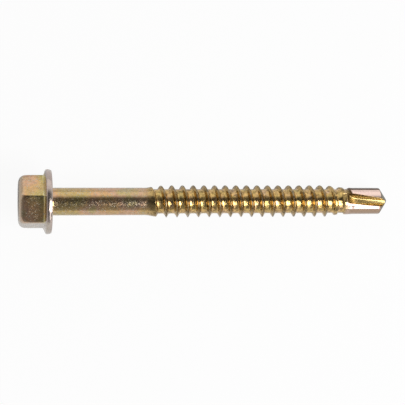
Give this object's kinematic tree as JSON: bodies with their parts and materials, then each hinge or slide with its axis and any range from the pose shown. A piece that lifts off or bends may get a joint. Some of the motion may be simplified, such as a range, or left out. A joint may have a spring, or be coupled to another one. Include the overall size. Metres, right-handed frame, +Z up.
{
  "type": "self drilling screw",
  "caption": "Hex washer head self drilling screw with a plain shank, a coarse rolled thread and a pinched drill point, lying at rest on its flange and thread.",
  "frame": {"origin": "centre of the bearing face under the washer flange", "axes": "+X along the screw from the head to the point, level with the table it rests on, +Z up"},
  "size_m": [0.062, 0.0106, 0.0105],
  "materials": {
    "zinc": "yellow zinc chromate, satin with a faint iridescence"
  },
  "bodies": {
    "root": {"screw": "zinc"}
  },
  "joints": []
}
